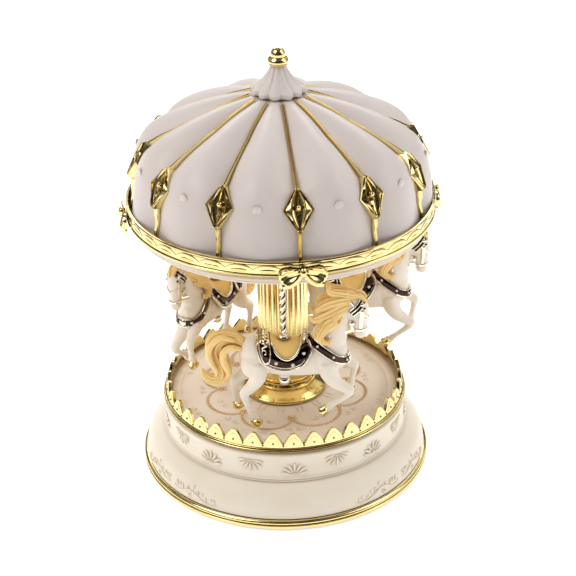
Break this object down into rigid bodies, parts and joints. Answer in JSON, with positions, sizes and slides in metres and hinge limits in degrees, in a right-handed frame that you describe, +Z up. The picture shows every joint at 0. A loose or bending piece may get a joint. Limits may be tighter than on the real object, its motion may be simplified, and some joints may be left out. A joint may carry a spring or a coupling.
{
  "type": "carousel music box",
  "caption": "Wind-up carousel music box: round stepped base with a pointed gold edging, a domed turning canopy with gold ribs, and prancing horses on twisted poles.",
  "frame": {"origin": "bottom centre, on the table plane under the column", "axes": "+Z up along the column, front along -Y"},
  "size_m": [0.1196, 0.1196, 0.1659],
  "materials": {
    "cream_plastic": "warm cream moulding",
    "canopy_plastic": "satin cream moulding",
    "gold_plating": "pale gold plating over plastic",
    "silver_plating": "champagne silver plating over plastic",
    "horse_plastic": "cream moulding with ochre painted mane and tail",
    "white_plastic": "natural acetal",
    "steel": "plain steel",
    "brass": "turned brass",
    "casting": "die casting",
    "rubber": "black rubber"
  },
  "bodies": {
    "base": {"base_shell": "cream_plastic", "foot_ring": "gold_plating", "deck_plate": "cream_plastic", "crown_edging": "gold_plating", "column_foot": "gold_plating", "column": "gold_plating", "upper_bush": "white_plastic", "lower_bush": "brass", "cam_ring": "white_plastic", "bottom_cover": "cream_plastic", "cover_screw_1": "steel", "cover_screw_2": "steel", "cover_screw_3": "steel", "movement_bedplate": "casting", "comb": "steel", "comb_base": "brass", "comb_screw_1": "brass", "comb_screw_2": "brass", "cylinder_bracket_inner": "casting", "cylinder_bracket_outer": "casting", "governor_bracket": "casting"},
    "winder": {"winding_plate": "gold_plating", "winding_arbor": "steel", "rubber_foot_1": "rubber", "rubber_foot_2": "rubber", "rubber_foot_3": "rubber"},
    "barrel": {"spring_barrel": "brass", "mainspring": "steel"},
    "lay_arbor": {"layshaft": "brass"},
    "cylinder": {"music_cylinder": "brass"},
    "governor": {"governor_fly": "steel"},
    "carousel": {"drive_shaft": "steel", "crown_wheel": "brass", "canopy_hub": "white_plastic", "canopy_shell": "canopy_plastic", "rib_cage": "gold_plating", "soffit_plate": "cream_plastic", "cap": "canopy_plastic", "finial": "gold_plating", "bow_1": "gold_plating", "bow_2": "gold_plating", "bow_3": "gold_plating", "bow_4": "gold_plating"},
    "hanger_front": {"pole_front": "silver_plating", "pole_knob_front": "silver_plating", "pole_follower_front": "white_plastic"},
    "mount_front": {"horse_front": "horse_plastic", "saddle_front": "silver_plating"},
    "hanger_right": {"pole_right": "silver_plating", "pole_knob_right": "silver_plating", "pole_follower_right": "white_plastic"},
    "mount_right": {"horse_right": "horse_plastic", "saddle_right": "silver_plating"},
    "hanger_left": {"pole_left": "silver_plating", "pole_knob_left": "silver_plating", "pole_follower_left": "white_plastic"},
    "mount_left": {"horse_left": "horse_plastic", "saddle_left": "silver_plating"}
  },
  "joints": [
    {"name": "winding_turn", "type": "hinge", "parent": "base", "child": "winder", "pos_m": [0, 0, 0], "axis": [0, 0, 1], "range_deg": [0, 1440]},
    {"name": "carousel_spin", "type": "hinge", "parent": "base", "child": "carousel", "pos_m": [0, 0, 0.1], "axis": [0, 0, 1], "continuous": true},
    {"name": "barrel_spin", "type": "hinge", "parent": "base", "child": "barrel", "pos_m": [0, 0, 0.01], "axis": [0, 0, 1], "continuous": true},
    {"name": "layshaft_spin", "type": "hinge", "parent": "base", "child": "lay_arbor", "pos_m": [0.015, 0, 0.012], "axis": [0, 0, 1], "continuous": true},
    {"name": "cylinder_spin", "type": "hinge", "parent": "base", "child": "cylinder", "pos_m": [0, 0.026, 0.014], "axis": [0, 1, 0], "continuous": true},
    {"name": "governor_spin", "type": "hinge", "parent": "base", "child": "governor", "pos_m": [-0.008, 0.03, 0.014], "axis": [0, 1, 0], "continuous": true},
    {"name": "front_horse_rise", "type": "slide", "parent": "carousel", "child": "hanger_front", "axis": [0, 0, 1], "range_m": [0, 0.0025]},
    {"name": "front_horse_swivel", "type": "hinge", "parent": "hanger_front", "child": "mount_front", "pos_m": [0, -0.03, 0.06], "axis": [0, 0, 1], "range_deg": [-15, 15]},
    {"name": "right_horse_rise", "type": "slide", "parent": "carousel", "child": "hanger_right", "axis": [0, 0, 1], "range_m": [0, 0.0025]},
    {"name": "right_horse_swivel", "type": "hinge", "parent": "hanger_right", "child": "mount_right", "pos_m": [0.02598, 0.015, 0.06], "axis": [0, 0, 1], "range_deg": [-20, 4]},
    {"name": "left_horse_rise", "type": "slide", "parent": "carousel", "child": "hanger_left", "axis": [0, 0, 1], "range_m": [0, 0.0025]},
    {"name": "left_horse_swivel", "type": "hinge", "parent": "hanger_left", "child": "mount_left", "pos_m": [-0.02598, 0.015, 0.06], "axis": [0, 0, 1], "range_deg": [-15, 15]}
  ],
  "couplings": [
    {"joint": "barrel_spin", "follows": "carousel_spin", "ratio": 0.25},
    {"joint": "layshaft_spin", "follows": "carousel_spin", "ratio": -1},
    {"joint": "cylinder_spin", "follows": "carousel_spin", "ratio": -3},
    {"joint": "governor_spin", "follows": "carousel_spin", "ratio": 9}
  ]
}
